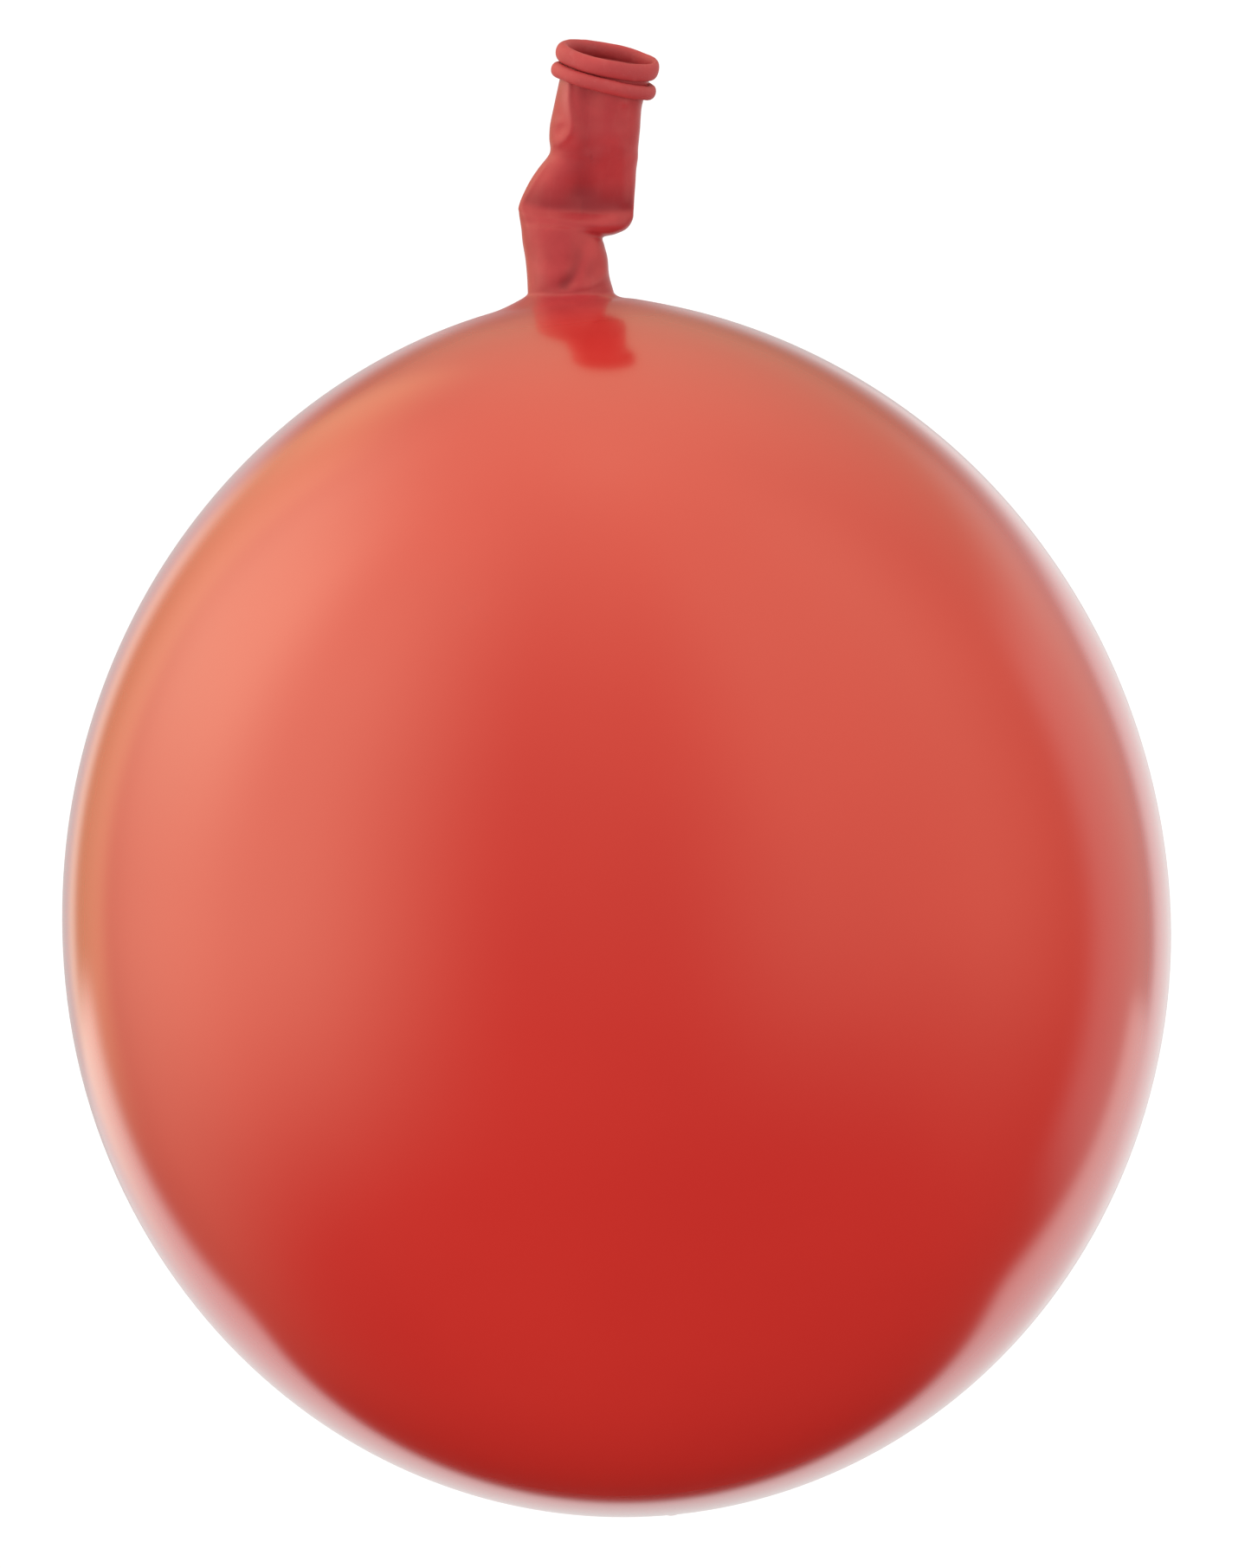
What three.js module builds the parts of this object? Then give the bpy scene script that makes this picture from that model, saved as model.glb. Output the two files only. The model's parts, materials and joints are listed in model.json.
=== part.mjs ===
// An inflated latex balloon that seals itself: the neck isn't tied, so a check valve at its base holds the air.
// The neck stands limp on the tight body, creased across and bent forward, and ends in two rolled beads.
// Millimetres. +Z is up, +X is to the right, and -Y is the front. The origin is the body's lowest point.
import * as THREE from "three";

// The body: an egg-round bag, drawn up a little where the neck leaves it.
const BODY_RADIUS = 140;
const BODY_LOWER_HEIGHT = 148.8; // lowest point to widest ring
const BODY_UPPER_HEIGHT = 154.7; // widest ring to crown, without the neck's pull
const CROWN_PULL = 6; // how far the neck draws the crown up
const BODY_WALL = 0.5;
const SHOULDER_SPREAD = 8; // from the neck's wall out to where its fillet meets the crown

// The neck: its base stands a little beside the body's own axis.
const NECK_RADIUS = 10.4;
const NECK_WALL = 0.5;
const NECK_SHIFT = 3.6; // from the body's axis, along X
const SHIFT_FADE = 10.5; // how soon that shift fades out over the crown
const NECK_RISE = 4.6; // crown to the first hinge
const ROOT_LENGTH = 6.5; // first hinge to the second
const LOWER_LENGTH = 12.1; // second hinge to the crease
const UPPER_LENGTH = 40.2; // crease to the middle of the mouth bead
const WAIST_SHARE = 0.48; // where on that length the flattened neck is round again

// How the neck is bent as it stands.
const ROOT_DRIFT = new THREE.Vector2(-0.2, 1); // sideways move from the first hinge to the second
const LOWER_DRIFT = new THREE.Vector2(0.1, 2); // and on to the middle of the crease's lower lip
const CREASE_OVERHANG = 3.2; // along the crease, from the lower lip's middle to the upper lip's
const CREASE_SLOPE = 10; // degrees, down to the right
const UPPER_LEAN_RIGHT = 16.6;
const UPPER_LEAN_FORWARD = 8;
const LOWER_LEAN_BACK = 8;
const LOWER_LEAN_LEFT = 2;

// The crease: the film is pressed nearly flat there.
const CREASE_UPPER_HALF_WIDTH = 14.3;
const CREASE_UPPER_HALF_DEPTH = 2.8;
const CREASE_LOWER_HALF_WIDTH = 11;
const CREASE_LOWER_HALF_DEPTH = 3.6;
const WAIST_HALF_WIDTH = 11.2;
const WAIST_HALF_DEPTH = 9.4;

// Each soft hinge is a pair of notches whose faces meet on the hinge's axis.
const NECK_NOTCH = 15; // degrees, each face of the two hinges at the base
const CREASE_NOTCH_FRONT = 34;
const CREASE_NOTCH_BACK = 22;
const HINGE_GAP = 0.3;

// The beads: the rolled lip at the mouth, and a thinner roll below it.
const GLUE_GAP = 0.3; // between a piece and the one it is stuck to
const MOUTH_BEAD_THICKNESS = 2.2;
const MOUTH_BEAD_HEIGHT = 4.2;
const MOUTH_BEAD_TILT = 3; // degrees, forward of square to the neck
const SECOND_BEAD_THICKNESS = 2.5;
const SECOND_BEAD_HEIGHT = 2.8;
const SECOND_BEAD_TILT = 1;
const BEAD_SPACING = 5.3; // middle to middle
const LIP_ABOVE_BEAD = 1.4; // the film's end, above the middle of the mouth bead

// The check valve: a soft collar in the base of the neck, with two film lips that the air presses together.
const COLLAR_WALL = 1.2;
const COLLAR_TOP = 3.2; // below the first hinge, clear of the neck as it sways
const COLLAR_LENGTH = 7.6;
const COLLAR_FLANGE = 5; // how far its flange stands out, under the shoulder
const COLLAR_FLANGE_EDGE = 1.2;
const LIP_LENGTH = 30;
const LIP_WALL = 0.5;
const LIP_NOTCH = 13; // degrees
const LIP_FLATNESS = 0.97; // 1 is flat at the free end

const LATEX = { color: 0xc5322b, roughness: 0.34, metalness: 0 };
const NECK_LATEX = { color: 0xb04a49, roughness: 0.5, metalness: 0 };
const VALVE_LATEX = { color: 0xc98f7c, roughness: 0.55, metalness: 0 };

const BODY_SEGMENTS = 48;
const NECK_SEGMENTS = 32;
const rad = THREE.MathUtils.degToRad;

// Heights of the hinges, and where each one is.
const shoulderRadius = NECK_RADIUS + SHOULDER_SPREAD;
const swayZ = crownHeight(shoulderRadius) + NECK_RISE;
const swayPoint = new THREE.Vector3(NECK_SHIFT, 0, swayZ);
const nodPoint = new THREE.Vector3(ROOT_DRIFT.x, ROOT_DRIFT.y, ROOT_LENGTH).add(swayPoint);
const creaseLowerPoint = new THREE.Vector3(LOWER_DRIFT.x, LOWER_DRIFT.y, LOWER_LENGTH).add(nodPoint);

// The collar fits inside the neck's base.
const collarRadius = NECK_RADIUS - BODY_WALL - GLUE_GAP;

// Directions: x across the neck, y through it, z along it.
const upright = turned(0, 0);
const lowerTurn = turned(-LOWER_LEAN_LEFT, -LOWER_LEAN_BACK);
const creaseTurn = turned(CREASE_SLOPE, 0);
const upperTurn = turned(UPPER_LEAN_RIGHT, UPPER_LEAN_FORWARD);
const creaseUpperPoint = new THREE.Vector3(CREASE_OVERHANG, 0, 0).applyQuaternion(creaseTurn).add(creaseLowerPoint);

// Height of the body's outside at a distance from its axis, above its widest ring.
function crownHeight(r) {
  const share = r / BODY_RADIUS;
  return BODY_LOWER_HEIGHT + BODY_UPPER_HEIGHT * Math.sqrt(1 - share ** 2) + CROWN_PULL * (1 - share) ** 2;
}

// A turn that leans a piece's top right and then forward, in degrees.
function turned(right, forward) {
  const leanRight = new THREE.Quaternion().setFromAxisAngle(new THREE.Vector3(0, 1, 0), rad(right));
  const leanForward = new THREE.Quaternion().setFromAxisAngle(new THREE.Vector3(1, 0, 0), rad(forward));
  return leanForward.multiply(leanRight);
}

// A profile turned about the Z axis. Three.js turns it about Y, so the result is stood up.
function turnedProfile(points, segments) {
  return new THREE.LatheGeometry(points, segments).rotateX(Math.PI / 2);
}

// Moves every vertex of a geometry to place(position, index).
function reshape(geometry, place) {
  const position = geometry.getAttribute("position");
  const point = new THREE.Vector3();
  for (let i = 0; i < position.count; i++) {
    const moved = place(point.fromBufferAttribute(position, i), i);
    position.setXYZ(i, moved.x, moved.y, moved.z);
  }
  geometry.computeVertexNormals();
  return geometry;
}

// A point of an oval section, at an angle and a depth into the wall. A section at a hinge is cut back from its axis:
// side is 1 for the piece above the hinge and -1 for the one below.
function ringPoint(section, angle, inset) {
  const u = (section.halfWidth - inset) * Math.cos(angle);
  const v = (section.halfDepth - inset) * Math.sin(angle);
  let w = 0;
  if (section.hinge) {
    const across = section.hinge.axis === "x" ? v : u;
    const notch = across < 0 ? section.hinge.front : section.hinge.back;
    w = section.side * (HINGE_GAP / 2 + Math.abs(across) * Math.tan(rad(notch)));
  }
  return new THREE.Vector3(u, v, w).applyQuaternion(section.turn).add(section.centre);
}

// A tube of film through a list of oval sections, open at both ends.
function filmTube(sections, wall, stepsEach) {
  const steps = (sections.length - 1) * stepsEach;
  const up = Array.from({ length: steps + 1 }, (_, i) => i);
  const profile = [
    ...up.map((i) => new THREE.Vector2(2, i)),
    ...up.map((i) => new THREE.Vector2(1, steps - i)),
    new THREE.Vector2(2, 0),
  ];
  return reshape(turnedProfile(profile, NECK_SEGMENTS), (p) => {
    const angle = Math.atan2(p.y, p.x);
    const inset = Math.hypot(p.x, p.y) > 1.5 ? 0 : wall;
    const step = Math.round(p.z);
    const span = Math.min(Math.floor(step / stepsEach), sections.length - 2);
    const along = step / stepsEach - span;
    return ringPoint(sections[span], angle, inset).lerp(ringPoint(sections[span + 1], angle, inset), along);
  });
}

const baseHinge = (axis) => ({ axis, front: NECK_NOTCH, back: NECK_NOTCH });
const creaseHinge = { axis: "x", front: CREASE_NOTCH_FRONT, back: CREASE_NOTCH_BACK };

function roundSection(centre, turn, hinge, side) {
  return { centre, turn, hinge, side, halfWidth: NECK_RADIUS, halfDepth: NECK_RADIUS };
}

// A point on the upper neck's middle line, at a distance from the crease.
function upOnNeck(distance) {
  return new THREE.Vector3(0, 0, distance).applyQuaternion(upperTurn).add(creaseUpperPoint);
}

// Half the upper neck's width and depth above its waist, at a distance from the crease.
function neckOval(distance) {
  const waist = UPPER_LENGTH * WAIST_SHARE;
  const along = (distance - waist) / (UPPER_LENGTH + LIP_ABOVE_BEAD - waist);
  return {
    halfWidth: THREE.MathUtils.lerp(WAIST_HALF_WIDTH, NECK_RADIUS, along),
    halfDepth: THREE.MathUtils.lerp(WAIST_HALF_DEPTH, NECK_RADIUS, along),
  };
}

function named(name, geometry, look) {
  const mesh = new THREE.Mesh(geometry, new THREE.MeshStandardMaterial(look));
  mesh.name = name;
  return mesh;
}

// The body's outside, from its lowest point to the first hinge.
function bodyOutline() {
  const lowerSteps = 11;
  const upperSteps = 11;
  const filletSteps = 4;
  const lower = Array.from({ length: lowerSteps }, (_, i) => {
    const angle = (i / lowerSteps) * (Math.PI / 2);
    return new THREE.Vector2(BODY_RADIUS * Math.sin(angle), BODY_LOWER_HEIGHT * (1 - Math.cos(angle)));
  });
  const last = Math.acos(shoulderRadius / BODY_RADIUS);
  const upper = Array.from({ length: upperSteps }, (_, i) => {
    const r = BODY_RADIUS * Math.cos((i / upperSteps) * last);
    return new THREE.Vector2(r, crownHeight(r));
  });
  const shoulder = new THREE.Vector2(shoulderRadius, crownHeight(shoulderRadius));
  const slope = (crownHeight(shoulderRadius) - crownHeight(shoulderRadius + 1)) * SHOULDER_SPREAD;
  const corner = new THREE.Vector2(NECK_RADIUS, shoulder.y + slope);
  const fillet = new THREE.QuadraticBezierCurve(shoulder, corner, new THREE.Vector2(NECK_RADIUS, swayZ));
  return [...lower, ...upper, ...fillet.getPoints(filletSteps)];
}

// The same outline, one wall inwards.
function insideOf(outline, wall) {
  return outline.map((point, i) => {
    const before = outline[Math.max(i - 1, 0)];
    const after = outline[Math.min(i + 1, outline.length - 1)];
    const along = after.clone().sub(before).normalize();
    if (i === 0) return new THREE.Vector2(0, wall);
    if (i === outline.length - 1) return new THREE.Vector2(point.x - wall, point.y);
    return new THREE.Vector2(point.x - along.y * wall, point.y + along.x * wall);
  });
}

// The body film. Near the neck its rings stand aside with the neck's base, and its edge is notched for the first hinge.
function envelope() {
  const outside = bodyOutline();
  const inside = insideOf(outside, BODY_WALL);
  const radii = [...outside, ...[...outside].reverse()].map((p) => p.x);
  const profile = [...outside, ...inside.reverse()];
  const film = reshape(turnedProfile(profile, BODY_SEGMENTS), (p, i) => {
    const beyond = Math.max(0, radii[i % profile.length] - NECK_RADIUS);
    const edge = THREE.MathUtils.clamp((p.z - (swayZ - NECK_RISE)) / NECK_RISE, 0, 1);
    const notch = HINGE_GAP / 2 + Math.abs(p.x) * Math.tan(rad(NECK_NOTCH));
    p.z -= edge * notch;
    p.x += NECK_SHIFT * Math.exp(-beyond / SHIFT_FADE);
    return p;
  });
  return named("envelope", film, LATEX);
}

function neckRoot() {
  const sections = [
    roundSection(swayPoint, upright, baseHinge("y"), 1),
    roundSection(nodPoint, lowerTurn, baseHinge("x"), -1),
  ];
  return named("neck_root", filmTube(sections, NECK_WALL, 3), NECK_LATEX);
}

function neckLower() {
  const sections = [
    roundSection(nodPoint, lowerTurn, baseHinge("x"), 1),
    {
      centre: creaseLowerPoint,
      turn: creaseTurn,
      halfWidth: CREASE_LOWER_HALF_WIDTH,
      halfDepth: CREASE_LOWER_HALF_DEPTH,
      hinge: creaseHinge,
      side: -1,
    },
  ];
  return named("neck_lower", filmTube(sections, NECK_WALL, 4), NECK_LATEX);
}

function neckUpper() {
  const sections = [
    {
      centre: creaseUpperPoint,
      turn: creaseTurn,
      halfWidth: CREASE_UPPER_HALF_WIDTH,
      halfDepth: CREASE_UPPER_HALF_DEPTH,
      hinge: creaseHinge,
      side: 1,
    },
    {
      centre: upOnNeck(UPPER_LENGTH * WAIST_SHARE),
      turn: upperTurn,
      halfWidth: WAIST_HALF_WIDTH,
      halfDepth: WAIST_HALF_DEPTH,
    },
    roundSection(upOnNeck(UPPER_LENGTH + LIP_ABOVE_BEAD), upperTurn),
  ];
  return named("neck_upper", filmTube(sections, NECK_WALL, 5), NECK_LATEX);
}

// A roll of film round the neck, with an oval section, at a distance from the crease. It fits the neck's own oval there.
function bead(name, distance, thickness, height, tilt) {
  const steps = 12;
  const oval = neckOval(distance);
  const profile = Array.from({ length: steps + 1 }, (_, i) => {
    const angle = ((i % steps) / steps) * 2 * Math.PI;
    const out = (thickness / 2) * (1 + Math.cos(angle));
    return new THREE.Vector2(NECK_RADIUS + out, (height / 2) * Math.sin(angle));
  });
  const roll = reshape(turnedProfile(profile, NECK_SEGMENTS), (p) => {
    const angle = Math.atan2(p.y, p.x);
    const out = Math.hypot(p.x, p.y) - NECK_RADIUS + GLUE_GAP;
    return p.set((oval.halfWidth + out) * Math.cos(angle), (oval.halfDepth + out) * Math.sin(angle), p.z);
  });
  const mesh = named(name, roll, NECK_LATEX);
  mesh.position.copy(upOnNeck(distance));
  mesh.quaternion.copy(upperTurn).multiply(turned(0, tilt));
  return mesh;
}

// The valve's collar. Its flange lies under the shoulder, and its lower end carries the lips.
function valveCollar() {
  const inner = collarRadius - COLLAR_WALL;
  const edge = collarRadius + COLLAR_FLANGE;
  const flangeTop = COLLAR_TOP - NECK_RISE - BODY_WALL - GLUE_GAP;
  const profile = [
    new THREE.Vector2(inner, -COLLAR_LENGTH),
    new THREE.Vector2(collarRadius, -COLLAR_LENGTH),
    new THREE.Vector2(collarRadius, flangeTop - 2 * COLLAR_FLANGE_EDGE),
    new THREE.Vector2(edge, flangeTop - COLLAR_FLANGE_EDGE),
    new THREE.Vector2(edge, flangeTop),
    new THREE.Vector2(collarRadius, flangeTop),
    new THREE.Vector2(collarRadius, 0),
    new THREE.Vector2(inner, 0),
    new THREE.Vector2(inner, -COLLAR_LENGTH),
  ];
  const mesh = named("valve_collar", turnedProfile(profile, NECK_SEGMENTS), VALVE_LATEX);
  mesh.position.set(swayPoint.x, swayPoint.y, swayZ - COLLAR_TOP);
  return mesh;
}

// One lip: half a tube at the collar, which flattens downwards without stretching. facing is -1 in front and 1 behind.
function valveLip(name, facing) {
  const radius = collarRadius - COLLAR_WALL / 2;
  const plate = new THREE.BoxGeometry(2, 2, 1, 16, 1, 8);
  const lip = reshape(plate, (p) => {
    const down = 0.5 - p.z;
    const roundness = 1 - LIP_FLATNESS * down;
    const bend = radius / roundness;
    const half = (Math.PI / 2) * roundness;
    const wall = bend + (p.y * LIP_WALL) / 2;
    const across = wall * Math.sin(p.x * half);
    const out = wall * Math.cos(p.x * half) - bend * Math.cos(half) + (LIP_WALL + HINGE_GAP) / 2;
    const top = -Math.abs(out) * Math.tan(rad(LIP_NOTCH));
    const z = top + (-LIP_LENGTH - top) * down;
    return p.set(across, out * facing, z);
  });
  // Turning the plate's outside to the front mirrors it, so its faces are turned round again.
  if (facing < 0) {
    const index = lip.getIndex();
    for (let i = 0; i < index.count; i += 3) {
      const first = index.getX(i);
      index.setX(i, index.getX(i + 1));
      index.setX(i + 1, first);
    }
    lip.computeVertexNormals();
  }
  const mesh = named(name, lip, VALVE_LATEX);
  mesh.position.set(swayPoint.x, swayPoint.y, swayZ - COLLAR_TOP - COLLAR_LENGTH - HINGE_GAP);
  return mesh;
}

const balloon = new THREE.Group();
balloon.add(
  envelope(),
  neckRoot(),
  neckLower(),
  neckUpper(),
  bead("mouth_bead", UPPER_LENGTH, MOUTH_BEAD_THICKNESS, MOUTH_BEAD_HEIGHT, MOUTH_BEAD_TILT),
  bead("second_bead", UPPER_LENGTH - BEAD_SPACING, SECOND_BEAD_THICKNESS, SECOND_BEAD_HEIGHT, SECOND_BEAD_TILT),
  valveCollar(),
  valveLip("valve_lip_front", -1),
  valveLip("valve_lip_back", 1),
);

export default balloon;
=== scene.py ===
"""A blown-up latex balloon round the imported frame: film, folded neck, two rolled mouth rings and a valve.

The film is spun and shaped as one skin, then parted at two rings across the neck, each of which follows a
single body, so that the three pieces stay joined as the neck sways, nods and folds.
"""

import json
import math

import bmesh
import bpy
from mathutils import Matrix, Vector, noise
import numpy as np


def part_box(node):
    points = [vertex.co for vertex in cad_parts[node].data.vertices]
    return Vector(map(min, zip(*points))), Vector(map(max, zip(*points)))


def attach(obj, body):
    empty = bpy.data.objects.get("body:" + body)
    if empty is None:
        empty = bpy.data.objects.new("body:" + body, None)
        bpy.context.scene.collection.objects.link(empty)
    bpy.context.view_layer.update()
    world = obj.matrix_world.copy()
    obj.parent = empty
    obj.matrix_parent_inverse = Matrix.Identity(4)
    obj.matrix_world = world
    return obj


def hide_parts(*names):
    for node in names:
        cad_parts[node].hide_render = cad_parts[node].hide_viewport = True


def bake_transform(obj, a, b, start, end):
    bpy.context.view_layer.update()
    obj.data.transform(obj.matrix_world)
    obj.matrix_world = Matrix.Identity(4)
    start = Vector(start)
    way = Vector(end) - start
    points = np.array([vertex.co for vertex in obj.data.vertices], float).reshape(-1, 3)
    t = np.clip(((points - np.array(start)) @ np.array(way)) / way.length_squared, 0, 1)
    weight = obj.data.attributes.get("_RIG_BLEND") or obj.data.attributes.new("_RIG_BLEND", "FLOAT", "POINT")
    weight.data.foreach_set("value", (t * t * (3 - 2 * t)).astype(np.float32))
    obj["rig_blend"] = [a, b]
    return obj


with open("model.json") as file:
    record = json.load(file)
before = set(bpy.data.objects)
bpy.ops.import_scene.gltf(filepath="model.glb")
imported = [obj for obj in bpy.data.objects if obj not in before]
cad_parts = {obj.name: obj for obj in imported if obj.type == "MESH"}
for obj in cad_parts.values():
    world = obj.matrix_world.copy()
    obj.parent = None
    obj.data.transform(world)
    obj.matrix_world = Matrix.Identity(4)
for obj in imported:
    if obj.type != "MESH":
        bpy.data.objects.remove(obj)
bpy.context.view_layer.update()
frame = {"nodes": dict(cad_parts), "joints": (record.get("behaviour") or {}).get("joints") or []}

MM = 0.001


# ---------------------------------------------------------------- sizes

film_low, film_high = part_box("envelope")
hinge = {joint["name"]: Vector(joint["pos_m"]) for joint in frame["joints"]}

BODY_RADIUS = (film_high.x - film_low.x) / 2
WIDE_HEIGHT = max(frame["nodes"]["envelope"].data.vertices, key=lambda v: v.co.x).co.z
CROWN_RISE = 154.7 * MM  # from the widest ring to where the round crown would close
CROWN_PULL = 6.0 * MM  # how far the neck draws the crown up
NECK_RADIUS = 10.4 * MM
FILLET_START = 18.4 * MM  # radius at which the crown begins to turn up into the neck
ROOT_SHIFT = hinge["neck_sway"].x  # the neck stands this far to the right of the body's axis
SHIFT_FADE = 10.5 * MM
FILM_WALL = 0.3 * MM
NUB_HEIGHT = 0.7 * MM  # the thick spot left at the bottom by the dipping form
NUB_RADIUS = 2.6 * MM

TURN_STEPS = 192
LOWER_RINGS = 66
UPPER_RINGS = 58
FILLET_RINGS = 14
NECK_RING_STEP = 0.42  # millimetres between rings on the neck

# The neck's rings, in millimetres from the sway hinge: left edge x and z, right edge x and z,
# how far the front stands forward, how far the back stands back, forward tip in degrees.
NECK_RINGS = (
    (-10.7, -0.4, 10.9, -2.0, 10.2, 10.2, 0),
    (-10.5, 3.5, 10.2, 2.0, 9.8, 10.4, -2),
    (-10.5, 7.9, 10.2, 6.4, 9.0, 10.6, -4),
    (-10.8, 12.3, 9.7, 9.7, 8.5, 10.0, -5),
    (-10.8, 15.6, 9.6, 11.7, 7.9, 9.4, -5),
    (-10.9, 17.4, 12.7, 12.2, 7.0, 8.8, -4),
    (-11.0, 19.0, 15.7, 13.3, 6.5, 8.0, -2),
    (-11.0, 20.1, 17.4, 15.4, 5.7, 7.4, 0),
    (-11.0, 21.2, 17.9, 17.8, 4.9, 6.8, 0),
    (-9.9, 23.7, 18.4, 21.0, 5.2, 6.6, 3),
    (-7.6, 27.4, 19.0, 24.5, 6.2, 7.0, 5),
    (-5.1, 30.5, 19.5, 27.7, 7.5, 7.4, 6),
    (-2.4, 33.3, 20.2, 30.7, 8.8, 7.6, 8),
    (-1.6, 35.0, 20.5, 33.1, 9.7, 7.8, 9),
    (-1.6, 37.8, 21.0, 35.7, 10.6, 8.0, 10),
    (-1.1, 41.1, 21.5, 38.3, 11.4, 8.0, 11),
    (0.0, 44.7, 21.9, 40.9, 11.7, 8.0, 12),
    (1.0, 47.9, 22.4, 43.5, 12.0, 8.0, 12),
    (1.9, 50.7, 23.2, 45.8, 12.2, 8.0, 12),
    (2.8, 53.7, 24.3, 48.6, 12.4, 8.0, 12),
    (3.6, 57.1, 25.4, 51.1, 12.6, 8.0, 12),
    (4.2, 59.9, 26.4, 53.5, 12.9, 8.1, 12),
)

# Folds on the front of the neck: points (x, z) in millimetres from the sway hinge, height at the first
# and the last point, and how far the slope reaches to the left and to the right of the line going up.
FRONT_FOLDS = (
    # the rounded strip beside the flat panel, ending in a hook
    (
        (
            (0.6, 36.4), (2.3, 37.4), (3.6, 38.7), (4.3, 40.4),
            (4.4, 42.4), (4.0, 44.8), (3.9, 47.4), (4.6, 54.0),
        ),
        0.4, 1.3, 2.0, 1.1,
    ),
    # dents and small swellings beside the hook
    (((1.2, 38.9), (1.9, 39.7)), -0.6, -0.5, 1.3, 1.3),
    (((0.6, 41.9), (1.6, 42.0)), 0.4, 0.3, 1.2, 1.2),
    # the hollow of the flat panel
    (((5.6, 22.9), (7.7, 32.2), (9.7, 46.3)), -1.5, -1.3, 4.2, 4.8),
    (((8.4, 35.0), (8.2, 42.0), (9.0, 49.0)), -0.6, -0.5, 1.8, 3.4),
    # the edge that runs down from the waist to the left corner
    (((-10.3, 22.2), (-6.2, 27.8), (-2.8, 32.2), (-1.3, 35.0)), 0.35, 0.3, 0.5, 0.9),
    # the sharp valley across the neck
    (
        ((-9.7, 22.0), (-5.6, 20.4), (-0.9, 19.4), (8.5, 17.9), (15.6, 17.7), (18.0, 18.1)),
        -0.3, -0.5, 2.4, 1.4,
    ),
    # crest of the roll under the valley
    (((3.6, 15.4), (10.7, 14.6), (15.0, 14.4)), 0.1, 0.35, 1.6, 1.6),
    # lower neck: a ridge inside the left edge, a soft band, a slanting dent and the crease beside it
    (((-8.9, 9.5), (-8.9, 15.2), (-9.4, 17.6), (-10.3, 20.6)), 0.1, 0.3, 0.8, 0.9),
    (((-7.2, -0.7), (-7.3, 7.4), (-6.6, 15.0)), 0.4, 0.15, 1.5, 2.4),
    (((-1.6, -0.8), (1.3, 2.8), (3.7, 7.3), (6.3, 12.3)), -1.25, -0.5, 2.2, 1.9),
    (((2.2, -0.9), (5.3, -0.3), (7.8, 1.0), (9.8, 2.6)), 0.55, 0.45, 1.1, 1.0),
    (((5.2, 2.4), (7.6, 4.6)), -0.4, -0.3, 1.6, 1.6),
    # small marks under the second ring
    (((18.4, 45.0), (19.0, 45.8)), 0.4, 0.3, 1.0, 1.0),
    (((17.6, 33.0), (17.0, 26.0), (16.4, 20.0)), 0.4, 0.5, 1.8, 1.8),
)

# Painted shade, partly real doubled film: above the valley, down the flat panel and in the slanting dent of
# the lower neck, the slack film lies in shade and partly double, and is coloured darker there. Given in the
# same form.
PAINTED_SHADE_PATCHES = (
    (((-8.5, 23.0), (-1.5, 20.8), (8.0, 19.2), (17.0, 19.0)), 0.5, 0.7, 5.5, 1.7),
    (((5.4, 24.0), (7.0, 35.0), (8.6, 50.0)), 0.45, 0.30, 3.0, 5.0),
    (((-1.2, 0.6), (1.6, 4.0), (3.6, 8.0)), 0.75, 0.25, 1.9, 1.5),
)

# Folds on the back of the neck, in the same form.
BACK_FOLDS = (
    (((12.0, 22.0), (13.0, 34.0), (15.0, 46.0)), 0.9, 0.7, 1.2, 2.6),
    (((3.0, 26.0), (6.5, 36.0), (8.0, 45.0)), -1.1, -0.8, 2.6, 2.6),
    (((-8.0, 19.0), (0.0, 21.0), (9.0, 18.5), (15.0, 17.0)), 0.9, 1.1, 1.3, 1.6),
    (((-7.0, 14.0), (1.0, 15.5), (10.0, 13.0)), -0.7, -0.9, 1.3, 1.3),
    (((-3.0, -0.5), (-2.0, 6.0), (-4.5, 12.0)), -1.1, -0.5, 1.8, 1.8),
    (((4.0, 0.0), (5.0, 7.0), (2.5, 12.5)), 0.8, 0.4, 1.2, 2.0),
)

RIM_STATION = len(NECK_RINGS) - 1

# The rolled rings lie on ovals of their own, given like the neck's rings.
# Their half width is larger at the left, where the roll is fuller, and smaller at the right.
MOUTH_RING = {"oval": (3.7, 59.3, 26.6, 52.6, 13.1, 8.3, 12), "wide": (1.6, 1.0), "height": 2.25 * MM}
SECOND_RING = {"oval": (2.0, 55.0, 25.0, 47.0, 13.1, 8.8, 7), "wide": (1.5, 1.3), "height": 1.82 * MM}


# ---------------------------------------------------------------- small helpers

def smooth(low, high, value):
    """0 below low, 1 above high, and a soft rise between them."""
    share = min(max((value - low) / (high - low), 0), 1)
    return share * share * (3 - 2 * share)


def through(before, start, end, after, share):
    """A soft curve from start to end that also heeds the value before and the value after."""
    slope_in = (end - before) / 2
    slope_out = (after - start) / 2
    square, cube = share ** 2, share ** 3
    return (
        start * (2 * cube - 3 * square + 1)
        + slope_in * (cube - 2 * square + share)
        + end * (3 * square - 2 * cube)
        + slope_out * (cube - square)
    )


def neck_ring(station):
    """The neck's ring at any station between two of NECK_RINGS."""
    first = min(max(int(station), 0), RIM_STATION - 1)
    share = station - first
    rows = [NECK_RINGS[min(max(first + step, 0), RIM_STATION)] for step in (-1, 0, 1, 2)]
    return NeckRing(*(through(*values, share) for values in zip(*rows)))


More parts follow.
